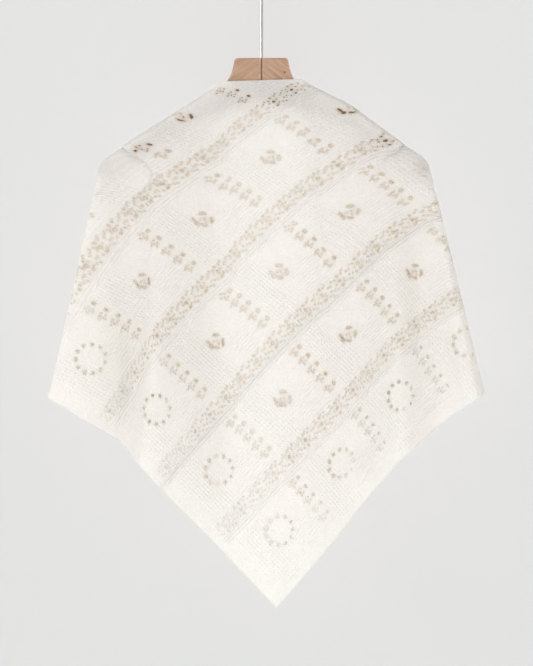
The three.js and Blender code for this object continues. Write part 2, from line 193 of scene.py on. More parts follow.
@dataclass(frozen=True)
class WornForm:
    """Sizes of the cloth where it hangs, heights measured from the neck line."""

    neck_drop: float = 165.0
    neck_half: float = 64.0
    neck_roll: float = 12.0
    roll: float = 10.2
    turn: float = 13.0
    belly: float = 7.0
    sag: float = 0.06
    sag_top: float = 0.22
    bow: float = 16.0
    seam: float = 0.3
    fold_start: float = 1.25
    ridge: tuple = (
        (-212.5, -121), (-209.5, -108), (-201, -98), (-171, -75), (-110, -37), (-50, 1.5),
        (50, 4.5), (115, -28), (180, -75), (206, -95), (215, -104), (219, -117),
    )
    hem: tuple = (
        (-277.6, -408), (-232, -437), (-186.6, -465), (-145, -511), (-63, -597),
        (18.9, -682.5), (89, -602), (174, -495), (232, -446), (290.6, -400),
    )

    def ridge_height(self, x: np.ndarray) -> np.ndarray:
        """Height of the upper outline at x."""
        table = np.array(self.ridge, float)
        return np.interp(x, table[:, 0], table[:, 1])

    def hem_height(self, x: np.ndarray) -> np.ndarray:
        """Height of the back's lower outline at x."""
        table = np.array(self.hem, float)
        return np.interp(x, table[:, 0], table[:, 1])

    def flat_top(self, x: np.ndarray, cut: FlatCut) -> tuple[np.ndarray, np.ndarray]:
        """Finds which place of the flat cloth lies on the upper outline.

        Args:
            x: places across the worn shawl.
            cut: the flat cloth.

        Returns:
            Flat places across and down.
        """
        table = np.array(self.ridge, float)
        runs = running_length(table[:, 0], table[:, 1])
        run = np.interp(x, table[:, 0], runs)
        side = np.where(x < 0, -1.0, 1.0)
        neck = np.interp(side * self.neck_half, table[:, 0], runs)
        end = np.where(x < 0, runs[0], runs[-1])
        part = (run - neck) / (end - neck)
        over = np.abs(x) > self.neck_half
        p = np.where(over, side * (cut.neck + (cut.shoulder[0] - cut.neck) * part), x / self.neck_half * cut.neck)
        return p, np.where(over, cut.shoulder[1] * part, 0.0)


@dataclass
class Panel:
    """One hanging panel, ruled from its top line to its hem by columns that follow its folds."""

    cut: FlatCut
    form: WornForm
    facing: Facing
    folds: tuple
    marks: tuple
    turns: tuple[bool, bool]
    steps: int = 1200
    table: dict = field(default_factory=dict)

    def __post_init__(self) -> None:
        """Lays out the columns."""
        rows = np.array(self.folds, float)
        last = len(rows) - 1
        at = np.linspace(0, last, self.steps + 1)
        top_x, hem_x, out = (monotone(rows[:, k], at) for k in range(3))
        hem_z = monotone(rows[:, 3], at) if rows.shape[1] > 3 else self.form.hem_height(hem_x)
        top_p, top_q = self.form.flat_top(top_x, self.cut)
        runs = running_length(hem_x, hem_z, out)
        knots = [round(row / last * self.steps) for row, _ in self.marks]
        along = np.interp(runs, runs[knots], [length for _, length in self.marks])
        self.table = {
            "top_x": top_x, "top_z": self.form.ridge_height(top_x), "hem_x": hem_x, "hem_z": hem_z, "out": out,
            "top_p": top_p, "top_q": top_q,
            "hem_p": along / math.sqrt(2), "hem_q": self.cut.depth - np.abs(along) / math.sqrt(2),
        }

    def column(self, step: np.ndarray, *names: str) -> list[np.ndarray]:
        """Reads columns between whole steps.

        Args:
            step: column numbers, with fractions.
            names: which values.

        Returns:
            One array for each name.
        """
        whole = np.arange(self.steps + 1)
        return [np.interp(step, whole, self.table[name]) for name in names]

    def locate(self, p: np.ndarray, q: np.ndarray) -> tuple[np.ndarray, np.ndarray]:
        """Finds the columns on which flat places lie.

        Args:
            p: flat places across.
            q: flat places down.

        Returns:
            Column numbers and shares down them.
        """
        def side(step: np.ndarray, p: np.ndarray = p, q: np.ndarray = q) -> np.ndarray:
            """Says on which side of a column each place is."""
            tp, tq, hp, hq = self.column(step, "top_p", "top_q", "hem_p", "hem_q")
            return (hp - tp) * (q - tq) - (hq - tq) * (p - tp)

        low, high = np.zeros(len(p)), np.full(len(p), float(self.steps))
        tp, tq, hp, hq = self.column(self.steps / 2, "top_p", "top_q", "hem_p", "hem_q")
        centre = (tp + hp) / 2, (tq + hq) / 2
        rising = side(0.0, *centre) > side(float(self.steps), *centre)
        for _ in range(24):
            middle = (low + high) / 2
            onward = (side(middle) > 0) == rising
            low, high = np.where(onward, middle, low), np.where(onward, high, middle)
        step = (low + high) / 2
        tp, tq, hp, hq = self.column(step, "top_p", "top_q", "hem_p", "hem_q")
        down = ((p - tp) * (hp - tp) + (q - tq) * (hq - tq)) / ((hp - tp) ** 2 + (hq - tq) ** 2)
        return step, np.clip(down, 0, 1)

    def place(self, p: np.ndarray, q: np.ndarray) -> tuple[np.ndarray, np.ndarray]:
        """Lays flat places where they hang.

        Args:
            p: flat places across.
            q: flat places down.

        Returns:
            Places in space, and how free each is to sway: 0 on a turned edge, 1 well away from one.
        """
        step, down = self.locate(p, q)
        top_x, top_z, hem_x, hem_z, out = self.column(step, "top_x", "top_z", "hem_x", "hem_z", "out")
        form = self.form
        fall = down - (form.sag + form.sag_top * (1 - down)) * down * (1 - down)
        over = np.clip((np.abs(top_x) - form.neck_half + form.neck_roll) / form.neck_roll, 0, 1)
        drop = fall * (top_z - hem_z)
        drop += over * (even_round(drop, form.roll) - drop)
        fall = drop / (top_z - hem_z)
        centred = 2 * step / self.steps - 1
        lean = form.bow * (1 - centred**2) * 4 * fall * (1 - fall) if self.facing is Facing.BACK else 0
        x = top_x + (hem_x - top_x) * fall + lean
        z = top_z - drop
        roll = 1 - over * (1 - round_edge(top_z - z, form.roll))
        radius = form.roll + (form.turn - form.roll) * fall
        turn = np.ones(len(p))
        free = np.clip((top_z - z) / 40, 0, 1)
        for at, turned in zip((0, -1), self.turns):
            if not turned:
                continue
            end = self.table["top_x"][at] + (self.table["hem_x"][at] - self.table["top_x"][at]) * fall
            x = end + np.sign(x - end) * even_round(np.abs(x - end), radius)
            turn *= round_edge(np.abs(x - end), radius)
            free *= np.clip(np.abs(x - end) / 40, 0, 1)
        reach = form.roll * roll + (form.belly + out) * fall**form.fold_start
        y = self.facing.value * (reach * turn + form.seam / 2)
        return np.stack([x, y, z - form.neck_drop], 1), free


BACK_FOLDS = (
    (-212.5, -277.6, 0), (-190, -236, 17), (-160, -181, -4), (-136, -146, 24), (-60, -42, -3), (3, 18.9, 6),
    (42, 57, 12), (108, 135, -4), (138, 180, 20), (170, 233, -6), (198, 272, 15), (219, 290.6, 0),
)
RIGHT_WING_FOLDS = (
    (219, 290.6, 0, -400), (205, 257, 30, -415), (187, 224, -1, -431), (167, 191, 36, -450), (146, 162, 1, -473),
    (126, 131, 38, -502), (106, 102, 3, -534), (88, 73, 34, -570), (74, 48, 5, -606), (64, 27, 18, -646),
)
LEFT_WING_FOLDS = (
    (-212.5, -277.6, 0, -408), (-198, -247, 27, -424), (-181, -216, 1, -440), (-160, -181, 39, -461),
    (-141, -152, 0, -487), (-121, -125, 33, -514), (-103, -96, 5, -546), (-86, -66, 37, -582),
    (-73, -46, 6, -601), (-64, -25, 15, -628),
)


@dataclass(frozen=True)
class Gap:
    """One open stitch of the lace, an ellipse on the flat cloth."""

    i: float
    j: float
    half_i: float
    half_j: float
    lean: float = 0.0


@dataclass
class LaceChart:
    """The repeat of the lace: squares divided by two kinds of band, with a motif in each square."""

    cut: FlatCut
    band_pitch: float = 16.5
    band_shift: float = 4.5
    leaf_pitch: float = 30.5
    gaps: list = field(default_factory=list)
    eyelets: list = field(default_factory=list)
    domes: list = field(default_factory=list)

    def __post_init__(self) -> None:
        """Draws every square, row by row from the lowest point."""
        for a in range(self.cut.cells):
            for b in range(self.cut.cells - a):
                i, j = self.cut.margin + self.cut.cell * a, self.cut.margin + self.cut.cell * b
                if a:
                    self.leaf_band(i, j)
                if b:
                    self.hole_band(i, j)
                centre = self.cut.cell / 2
                if a + b < self.cut.cells - 1:
                    if a and b:
                        self.diamond(i + centre, j + centre)
                    else:
                        self.rosette(i + centre, j + centre)
        self.gaps = [g for g in self.gaps if self.inside(g.i, g.j)]
        self.eyelets = [e for e in self.eyelets if self.inside(*e)]
        self.domes = [d for d in self.domes if self.inside(d[0], d[1])]

    def inside(self, i: float, j: float) -> bool:
        """Keeps open work clear of the three plain edges."""
        top = self.cut.leg - 11
        return min(i, j) > self.cut.margin + 1 and i + j < top

    def leaf_band(self, i: float, j: float) -> None:
        """Adds a band of leaves between round holes, on the line i through one square.

        Args:
            i: the band's line.
            j: where the square starts.
        """
        for n in range(4):
            at = j + self.leaf_pitch * (n + 0.5)
            self.gaps.append(Gap(i, at, 1.8, 2.3))
            for side in (-1, 1):
                self.gaps.append(Gap(i + side * 7.8, at + side * 1.5, 1.1, 1.7, side * 0.5))
                for di, dj in ((4.3, 4.3), (4.3, -4.3), (6.2, 8.6), (6.2, -8.6), (9.4, 5.6), (9.4, -6.6),
                               (8.6, 12.0), (3.9, 13.6), (4.1, -12.6)):
                    self.eyelets.append((i + side * di, at + dj))
            self.eyelets += [(i, at + 7.0), (i, at - 7.0)]
            self.domes.append((i, at + self.leaf_pitch / 2, 2.6, 5.5, 0.9))
            for side in (-1, 1):
                self.domes.append((i + side * 6.2, at + side * 5.0, 1.9, 3.4, 0.6))

    def hole_band(self, i: float, j: float) -> None:
        """Adds a row of five large holes with a scallop of eyelets under each, on the line j.

        Args:
            i: where the square starts.
            j: the band's line.
        """
        for n in range(5):
            at = i + self.cut.cell / 2 + self.band_pitch * (n - 2)
            self.gaps.append(Gap(at, j + self.band_shift, 2.5, 1.7))
            for di, dj in ((2.6, -2.2), (-3.6, -2.6), (3.6, -6.4), (-1.0, -6.2), (-5.2, -6.8), (0.8, -10.6)):
                self.eyelets.append((at + di, j + dj))
            self.domes.append((at + 8.2, j - 1.0, 2.6, 4.5, 0.6))
            self.domes.append((at, j - 6.6, 1.8, 1.8, 0.45))

    def diamond(self, i: float, j: float) -> None:
        """Adds the motif of an inner square: a diamond with one large corner hole and a slot.

        Args:
            i: centre along the left leg.
            j: centre along the right leg.
        """
        self.gaps.append(Gap(i - 0.9, j - 8.3, 2.3, 1.9))
        self.gaps.append(Gap(i + 5.5, j - 6.8, 4.2, 1.1, 0.29))
        self.gaps.append(Gap(i - 7.0, j - 5.0, 3.6, 1.1, -0.53))
        self.gaps.append(Gap(i - 8.2, j + 6.4, 4.4, 1.4, math.pi / 4))
        self.gaps.append(Gap(i + 5.5, j + 7.4, 4.2, 1.1, -math.pi / 4))
        for di, dj in ((-2.5, -2.5), (-4.6, 0.6), (-1.4, 2.4), (1.6, -0.8), (3.8, 1.6), (1.0, 5.0)):
            self.eyelets.append((i + di, j + dj))
        for turn in range(8):
            angle = math.radians(45 * turn + 22)
            self.domes.append((i + 17.5 * math.cos(angle), j + 17.5 * math.sin(angle), 3.2, 3.2, 0.7))
        self.domes.append((i, j, 9.0, 9.0, 0.7))

    def rosette(self, i: float, j: float) -> None:
        """Adds the motif of an outer square: a ring of round holes about a solid flower.

        Args:
            i: centre along the left leg.
            j: centre along the right leg.
        """
        for turn in range(11):
            angle = math.tau * turn / 11
            size = 2.3 + 0.5 * math.cos(angle + 0.8)
            self.gaps.append(Gap(i + 19 * math.cos(angle), j + 19 * math.sin(angle), size, size))
            self.domes.append((i + 13.0 * math.cos(angle), j + 13.0 * math.sin(angle), 2.6, 2.6, 0.5))
        self.domes.append((i, j, 5.0, 5.0, 0.9))


@dataclass
class KnittedSheet:
    """The cloth as a lattice of stitches, opened where the chart has a gap, and laid on the worn form."""

    cut: FlatCut
    chart: LaceChart
    form: WornForm
    rows: int = 529
    wall: float = 1.2
    eyelet_draw: float = 0.72
    fold_clear: float = 9.0
    ease_reach: float = 44.0
    ease_rounds: int = 40
    ease_blur: float = 0.07
    shoulder_inset: tuple[float, float] = (24.0, 18.0)
    tip_round: float = 18.0
    gap_shade: float = 0.85
    eyelet_shade: float = 0.6
    rim_fade: float = 0.35
    hem_shade: float = 0.5
    hem_fade: tuple[float, float] = (50.0, 130.0)
    i: np.ndarray = None
    j: np.ndarray = None
    relief: np.ndarray = None
    places: np.ndarray = None

    def __post_init__(self) -> None:
        """Knits the lattice and lays it."""
        side = np.arange(self.rows + 1) * self.stitch
        self.i, self.j = (a.ravel().copy() for a in np.meshgrid(side, side, indexing="ij"))
        self.relief = np.zeros(len(self.i))
        self.clear_folds()
        self.mask_stitches()
        self.draw_in_gaps()
        self.raise_relief()
        self.lay()

    @property
    def stitch(self) -> float:
        """Side of one stitch."""
        return self.cut.leg / self.rows

    def clear_folds(self) -> None:
        """Leaves out the gaps that a fold between two panels would close."""
        chart = self.chart
        chart.gaps = [gap for gap in chart.gaps if self.off_fold(gap.i, gap.j, self.fold_clear)]
        chart.eyelets = [spot for spot in chart.eyelets if self.off_fold(*spot, self.fold_clear / 2)]

    def off_fold(self, i: float, j: float, clear: float) -> bool:
        """Says whether a place keeps clear of both side folds."""
        p, q = self.cut.across(i, j)
        right, left = self.side_line(q, self.cut.side_right), self.side_line(q, self.cut.side_left)
        return min(abs(p - right), abs(-p - left)) > clear

    def mask_stitches(self) -> None:
        """Marks which stitches are cloth, and which gap each missing one belongs to."""
        n, s = self.rows, self.stitch
        self.kept = np.add.outer(np.arange(n), np.arange(n)) <= n - 2
        self.owner = np.full((n, n), -1)
        self.eyelet_faces = []
        for number, gap in enumerate(self.chart.gaps):
            reach = max(gap.half_i, gap.half_j) + s
            i0, i1 = int((gap.i - reach) / s), int((gap.i + reach) / s) + 1
            j0, j1 = int((gap.j - reach) / s), int((gap.j + reach) / s) + 1
            ci = (np.arange(i0, i1) + 0.5)[:, None] * s
            cj = (np.arange(j0, j1) + 0.5)[None, :] * s
            opened = self.distance(gap, ci, cj) < 1.02
            block = self.owner[i0:i1, j0:j1]
            block[opened & (block < 0)] = number
        for i, j in self.chart.eyelets:
            fi, fj = int(i / s), int(j / s)
            if (self.owner[fi - 1 : fi + 2, fj - 1 : fj + 2] == -1).all():
                self.owner[fi, fj] = -2 - len(self.eyelet_faces)
                self.eyelet_faces.append((fi, fj))
        self.kept &= self.owner == -1
        self.shade_rims()

    def shade_rims(self) -> None:
        """Marks how deep in painted shade the stitches round each gap are, less so towards the hem; the yarn's colour
        is darkened by this mark.
        """
        n = self.rows
        self.rim = np.zeros((n + 1, n + 1))
        dark = np.where(self.owner >= 0, self.gap_shade, np.where(self.owner < -1, self.eyelet_shade, 0))
        for di in (0, 1):
            for dj in (0, 1):
                corner = self.rim[di : n + di, dj : n + dj]
                np.maximum(corner, dark, out=corner)
        start, width = self.hem_fade
        fade = np.clip((np.minimum(self.i, self.j) - start) / width, 0, 1).reshape(self.rim.shape)
        self.rim *= self.hem_shade + (1 - self.hem_shade) * fade
        spread = self.rim.copy()
        for axis in (0, 1):
            for way in (-1, 1):
                spread = np.maximum(spread, self.rim_fade * np.roll(self.rim, way, axis))
        self.rim = spread.ravel()

    @staticmethod
    def distance(gap: Gap, i: np.ndarray, j: np.ndarray) -> np.ndarray:
        """Measures places from a gap's centre.

        Args:
            gap: the gap.
            i: places along the left leg.
            j: places along the right leg.

        Returns:
            The distance as a share of the gap's own edge.
        """
        c, s = math.cos(gap.lean), math.sin(gap.lean)
        di, dj = i - gap.i, j - gap.j
        return np.sqrt(((di * c + dj * s) / gap.half_i) ** 2 + ((dj * c - di * s) / gap.half_j) ** 2)

    def draw_in_gaps(self) -> None:
        """Moves the stitches round each gap onto its outline."""
        n, width = self.rows, self.rows + 1
        moved = np.zeros(len(self.i), bool)
        for number, gap in enumerate(self.chart.gaps):
            i0, j0 = max(0, int((gap.i - 9) / self.stitch)), max(0, int((gap.j - 9) / self.stitch))
            block = self.owner[i0 : i0 + 11, j0 : j0 + 11]
            fi, fj = np.nonzero(block == number)
            corners = np.unique(np.concatenate(
                [(fi + i0 + a) * width + fj + j0 + b for a in (0, 1) for b in (0, 1)] or [[]]
            ).astype(int))
            corners = corners[~moved[corners]]
            far = self.distance(gap, self.i[corners], self.j[corners])
            edge = far > 0.3
            corners, far = corners[edge], far[edge]
            self.i[corners] = gap.i + (self.i[corners] - gap.i) / far
            self.j[corners] = gap.j + (self.j[corners] - gap.j) / far
            moved[corners] = True
        for fi, fj in self.eyelet_faces:
            ids = np.array([(fi + a) * width + fj + b for a in (0, 1) for b in (0, 1)])
            ids = ids[~moved[ids]]
            ci, cj = (fi + 0.5) * self.stitch, (fj + 0.5) * self.stitch
            self.i[ids] = ci + (self.i[ids] - ci) * self.eyelet_draw
            self.j[ids] = cj + (self.j[ids] - cj) * self.eyelet_draw
            moved[ids] = True

    def raise_relief(self) -> None:
        """Raises the flowers, the rims of the gaps and the plain edging."""
        for dome in self.chart.domes:
            self.add_mound(*dome)
        for gap in self.chart.gaps:
            self.add_mound(gap.i, gap.j, gap.half_i + 2.2, gap.half_j + 2.2, 0.45)
        edge = np.minimum(self.i, self.j)
        free = (self.cut.leg - self.i - self.j) / math.sqrt(2)
        self.relief += 0.55 * np.exp(-((edge / 2.2) ** 2)) + 0.3 * np.exp(-(((edge - 8.5) / 1.8) ** 2))
        self.relief += 0.5 * np.exp(-((free / 2.5) ** 2))

    def add_mound(self, i: float, j: float, half_i: float, half_j: float, height: float) -> None:
        """Raises a soft mound.

        Args:
            i: its centre along the left leg.
            j: its centre along the right leg.
            half_i: half its length that way.
            half_j: half its length the other way.
            height: its height.
        """
        s, width = self.stitch, self.rows + 1
        i0, i1 = max(0, int((i - 2 * half_i) / s)), min(width, int((i + 2 * half_i) / s) + 2)
        j0, j1 = max(0, int((j - 2 * half_j) / s)), min(width, int((j + 2 * half_j) / s) + 2)
        ids = (np.arange(i0, i1)[:, None] * width + np.arange(j0, j1)[None, :]).ravel()
        far = ((self.i[ids] - i) / half_i) ** 2 + ((self.j[ids] - j) / half_j) ** 2
        self.relief[ids] += height * np.exp(-far)

    def panels(self) -> dict:
        """Makes the three hanging panels.

        Returns:
            The back (0), the left wing (-1) and the right wing (1).
        """
        cut = self.cut
        return {
            0: Panel(cut, self.form, Facing.BACK, BACK_FOLDS,
                     ((0, -cut.side_left), (5, 0), (11, cut.side_right)), (True, True)),
            -1: Panel(cut, self.form, Facing.FRONT, LEFT_WING_FOLDS,
                      ((0, -cut.side_left), (9, -cut.leg)), (True, False)),
            1: Panel(cut, self.form, Facing.FRONT, RIGHT_WING_FOLDS,
                     ((0, cut.side_right), (9, cut.leg)), (True, False)),
        }

    def side_line(self, q: np.ndarray, side: float) -> np.ndarray:
        """Gives the fold between the back and a wing, on the flat cloth.

        Args:
            q: places down the cloth.
            side: the length along the leg at which the fold meets the hem.

        Returns:
            How far from the middle the fold is.
        """
        end_p, end_q = side / math.sqrt(2), self.cut.depth - side / math.sqrt(2)
        return np.interp(q, [0, self.cut.shoulder[1], end_q, self.cut.depth],
                         [self.cut.neck, self.cut.shoulder[0], end_p, end_p + self.cut.depth - end_q])

    def wing_of(self, p: np.ndarray, q: np.ndarray) -> np.ndarray:
        """Says which panel flat places are on.

        Args:
            p: places across.
            q: places down.

        Returns:
            -1 on the left wing, 0 on the back, 1 on the right wing.
        """
        right = p > self.side_line(q, self.cut.side_right)
        left = -p > self.side_line(q, self.cut.side_left)
        return right.astype(int) - left.astype(int)

    def lay(self) -> None:
        """Lays every stitch on the worn form, with small sways that the folds leave."""
        p, q = self.cut.across(self.i, self.j)
        q = np.maximum(q, 0)
        used = self.i + self.j <= self.cut.leg + 1e-6
        wing = self.wing_of(p, q)
        self.places = np.zeros((len(p), 3))
        for key, panel in self.panels().items():
            ids = np.nonzero(used & (wing == key))[0]
            places, free = panel.place(p[ids], q[ids])
            places[:, 1] += panel.facing.value * free * self.sway(places, p[ids], q[ids], key)
            self.places[ids] = places
        self.ease_shoulders(p, q)

    def shoulder(self, side: int) -> tuple[np.ndarray, np.ndarray]:
        """Finds a shoulder tip.

        Args:
            side: -1 for the left shoulder, 1 for the right.

        Returns:
            The tip, and a place inside the cloth from which its round faces all point away.
        """
        x = (LEFT_WING_FOLDS if side < 0 else RIGHT_WING_FOLDS)[0][0]
        height = float(self.form.ridge_height(np.array([x], float))[0])
        tip = np.array([x, 0.0, height - self.form.neck_drop])
        return tip, tip - np.array([self.shoulder_inset[0] * side, 0.0, self.shoulder_inset[1]])

    def ease_shoulders(self, p: np.ndarray, q: np.ndarray) -> None:
        """Spreads the stitches evenly round the two shoulder tips, where three folds meet.

        Args:
            p: places across.
            q: places down.
        """
        tip_p, tip_q = self.cut.shoulder
        size = self.rows + 1
        for side in (-1, 1):
            far = np.hypot(side * p - tip_p, q - tip_q)
            near = np.nonzero(far < self.ease_reach)[0]
            share = np.clip(2 - 2 * far[near] / self.ease_reach, 0, 1)[:, None]
            laid, (_, heart) = self.places[near], self.shoulder(side)
            for _ in range(self.ease_rounds):
                around = sum(self.places[near + step] for step in (1, -1, size, -size)) / 4
                self.places[near] += 0.8 * share * (around - self.places[near])
            eased, laid = self.places[near] - heart, laid - heart
            reach, laid_reach = (np.linalg.norm(a, axis=1) for a in (eased, laid))
            eased /= reach[:, None]
            alike = np.exp((eased @ (laid / laid_reach[:, None]).T - 1) / self.ease_blur**2)
            kept = (alike @ laid_reach) / alike.sum(1)
            reach += np.minimum(3 * share[:, 0], 1) * (kept - reach)
            self.places[near] = heart + eased * reach[:, None]

    def sway(self, places: np.ndarray, p: np.ndarray, q: np.ndarray, wing: int) -> np.ndarray:
        """Gives the small hollows and waves between the folds.

        Args:
            places: where the stitches hang.
            p: their flat places across.
            q: their flat places down.
            wing: which panel they are on.

        Returns:
            How far each moves outwards.
        """
        wave = 0.7 * np.sin(p / 13.0 + 1.9 * np.sin(q / 41.0)) * np.sin(q / 29.0 + p / 61.0 + wing)
        wave += 0.5 * np.sin((p + q) / 9.7 + 0.6) * np.sin((p - q) / 12.9)
        if wing == 0:
            for x, z, wide, high, deep in HOLLOWS:
                far = ((places[:, 0] - x) / wide) ** 2 + ((places[:, 2] - z) / high) ** 2
                wave += deep * np.exp(-far)
        return wave

    def shell(self) -> None:
        """Works out the outward direction of every stitch, rims of the gaps included."""
        n, width = self.rows, self.rows + 1
        fi, fj = np.nonzero(self.kept)
        corner = fi * width + fj
        quads = np.stack([corner, corner + 1, corner + width + 1, corner + width], 1)
        diag = np.arange(n)
        tri_corner = diag * width + (n - 1 - diag)
        tris = np.stack([tri_corner, tri_corner + 1, tri_corner + width, tri_corner + width], 1)
        self.faces = np.concatenate([quads, tris])
        self.is_tri = np.concatenate([np.zeros(len(quads), bool), np.ones(len(tris), bool)])
        pts = self.places[self.faces]
        cross = np.cross(pts[:, 2] - pts[:, 0], pts[:, 3] - pts[:, 1])
        cross[self.is_tri] = np.cross(pts[:, 1] - pts[:, 0], pts[:, 2] - pts[:, 0])[self.is_tri]
        normal = np.zeros_like(self.places)
        for k in range(4):
            np.add.at(normal, self.faces[:, k], cross)
        self.normals = unit(normal)
        behind = self.places[self.faces[:, 0], 1] < -5
        self.flipped = bool(self.normals[self.faces[:, 0], 1][behind].mean() > 0)
        if self.flipped:
            self.normals = -self.normals
        self.round_shoulders()
        self.soften_rims()

    def round_shoulders(self) -> None:
        """Turns the outward directions evenly round the two shoulder tips, where the cloth is gathered."""
        for side in (-1, 1):
            tip, heart = self.shoulder(side)
            away = unit((self.places - heart) * np.array([1.0, 2.5, 1.0]))
            near = np.clip(1.7 - np.linalg.norm(self.places - tip, axis=1) / self.tip_round, 0, 1)[:, None]
            self.normals = unit(self.normals * (1 - near) + away * near)

    def soften_rims(self) -> None:
        """Rounds the shading of each layer towards the rims of the gaps, so that its yarn looks full."""
        quads, tris = self.faces[~self.is_tri], self.faces[self.is_tri]
        edges = np.concatenate([self.faces[:, (0, 1)], self.faces[:, (1, 2)],
                                quads[:, (2, 3)], quads[:, (3, 0)], tris[:, (2, 0)]])
        size = len(self.places)
        key, reverse = edges[:, 0] * size + edges[:, 1], edges[:, 1] * size + edges[:, 0]
        rim = edges[~np.isin(key, reverse)]
        along = self.places[rim[:, 1]] - self.places[rim[:, 0]]
        out = unit(np.cross(along, self.normals[rim[:, 0]])) * (-1 if self.flipped else 1)
        away = np.zeros_like(self.places)
        np.add.at(away, rim[:, 0], out)
        np.add.at(away, rim[:, 1], out)
        away = 0.8 * unit(away)
        self.soft_normals = unit(np.stack([self.normals + away, away - self.normals]))


HOLLOWS = (
    (-67.0, -507.0, 20.0, 20.0, -3.5),
    (-70.0, -500.0, 34.0, 80.0, -8.0),
    (-48.0, -640.0, 22.0, 70.0, -4.0),
    (24.0, -545.0, 14.0, 120.0, 2.0),
    (112.0, -500.0, 22.0, 95.0, -6.0),
    (200.0, -470.0, 16.0, 95.0, -5.0),
    (-143.0, -500.0, 16.0, 105.0, 4.0),
    (-177.0, -510.0, 14.0, 115.0, -5.0),
    (151.0, -500.0, 14.0, 115.0, 4.0),
    (245.0, -500.0, 12.0, 80.0, 3.0),
)


class NodeBook:
    """A material's node tree, with short ways to add and join nodes."""

    def __init__(self, name: str) -> None:
        """Starts a material that holds one Principled shader.

        Args:
            name: the material's name.
        """
        self.material = bpy.data.materials.new(name)
        self.material.use_nodes = True
        self.tree = self.material.node_tree
        self.shader = self.tree.nodes["Principled BSDF"]
        self.output = self.tree.nodes["Material Output"]
        self.place = self.add("ShaderNodeTexCoord").outputs["Object"]

    def add(self, kind: str, inputs: dict | None = None, **settings: object) -> bpy.types.Node:
        """Adds a node.

        Args:
            kind: the node's type.
            inputs: what goes into its sockets.
            settings: attributes to set on it.

        Returns:
            The node.
        """
        node = self.tree.nodes.new(kind)
        for key, value in settings.items():
            setattr(node, key, value)
        self.feed(node, inputs or {})
        return node

    def feed(self, node: bpy.types.Node, inputs: dict) -> None:
        """Sets a node's sockets.

        Args:
            node: the node.
            inputs: for each socket's name or number, another node's output or a plain value.
        """
        for slot, value in inputs.items():
            if isinstance(value, bpy.types.NodeSocket):
                self.tree.links.new(value, node.inputs[slot])
            else:
                node.inputs[slot].default_value = value

    def sum(self, a: object, b: object) -> bpy.types.NodeSocket:
        """Adds two values."""
        return self.add("ShaderNodeMath", {0: a, 1: b}, operation="ADD").outputs[0]

    def product(self, a: object, b: object) -> bpy.types.NodeSocket:
        """Multiplies two values."""
        return self.add("ShaderNodeMath", {0: a, 1: b}, operation="MULTIPLY").outputs[0]

    def wave(self, along: bpy.types.NodeSocket, waves: float) -> bpy.types.NodeSocket:
        """Makes even waves from -1 to 1, so many over the cloth's length."""
        return self.add("ShaderNodeMath", {0: self.product(along, math.tau * waves)}, operation="SINE").outputs[0]

    def noise(self, scale: float, detail: float, vector: object = None, swirl: float = 0.0) -> bpy.types.NodeSocket:
        """Adds a noise.

        Args:
            scale: how fine it is.
            detail: how many finer layers it has.
            vector: where it is read, the object's own space if not given.
            swirl: how far it is distorted.

        Returns:
            A value about 0.5.
        """
        inputs = {"Vector": vector or self.place, "Scale": scale, "Detail": detail, "Distortion": swirl}
        return self.add("ShaderNodeTexNoise", inputs).outputs["Fac"]

    def remap(self, value: object, low: float, high: float, to: tuple = (0.0, 1.0),
              kind: str = "LINEAR") -> bpy.types.NodeSocket:
        """Stretches a value from one range to another.

        Args:
            value: the value.
            low: where the first range starts.
            high: where it ends.
            to: the second range.
            kind: how it runs between the ends.

        Returns:
            The new value.
        """
        inputs = {"Value": value, "From Min": low, "From Max": high, "To Min": to[0], "To Max": to[1]}
        return self.add("ShaderNodeMapRange", inputs, interpolation_type=kind).outputs["Result"]

    def mix(self, share: object, a: object, b: object, blend: str = "MIX") -> bpy.types.NodeSocket:
        """Mixes two colours by a share of the second."""
        return self.add("ShaderNodeMix", {0: share, 6: a, 7: b}, data_type="RGBA", blend_type=blend).outputs[2]

    def mottle(self, colour: tuple, dim: float, scale: float) -> bpy.types.NodeSocket:
        """Varies a colour softly down to a share of it."""
        return self.mix(self.noise(scale, 2.0), colour, tuple(c * dim for c in colour[:3]) + (1,))

    def bump(self, height: object, strength: float, distance: float) -> bpy.types.NodeSocket:
        """Raises the surface in its shading."""
        inputs = {"Height": height, "Strength": strength, "Distance": distance}
        return self.add("ShaderNodeBump", inputs).outputs["Normal"]

    def blend(self, share: object, other: bpy.types.Node) -> None:
        """Makes the surface a mix of the Principled shader and a share of another."""
        both = self.add("ShaderNodeMixShader", {0: share, 1: self.shader.outputs[0], 2: other.outputs[0]})
        self.feed(self.output, {"Surface": both.outputs[0]})


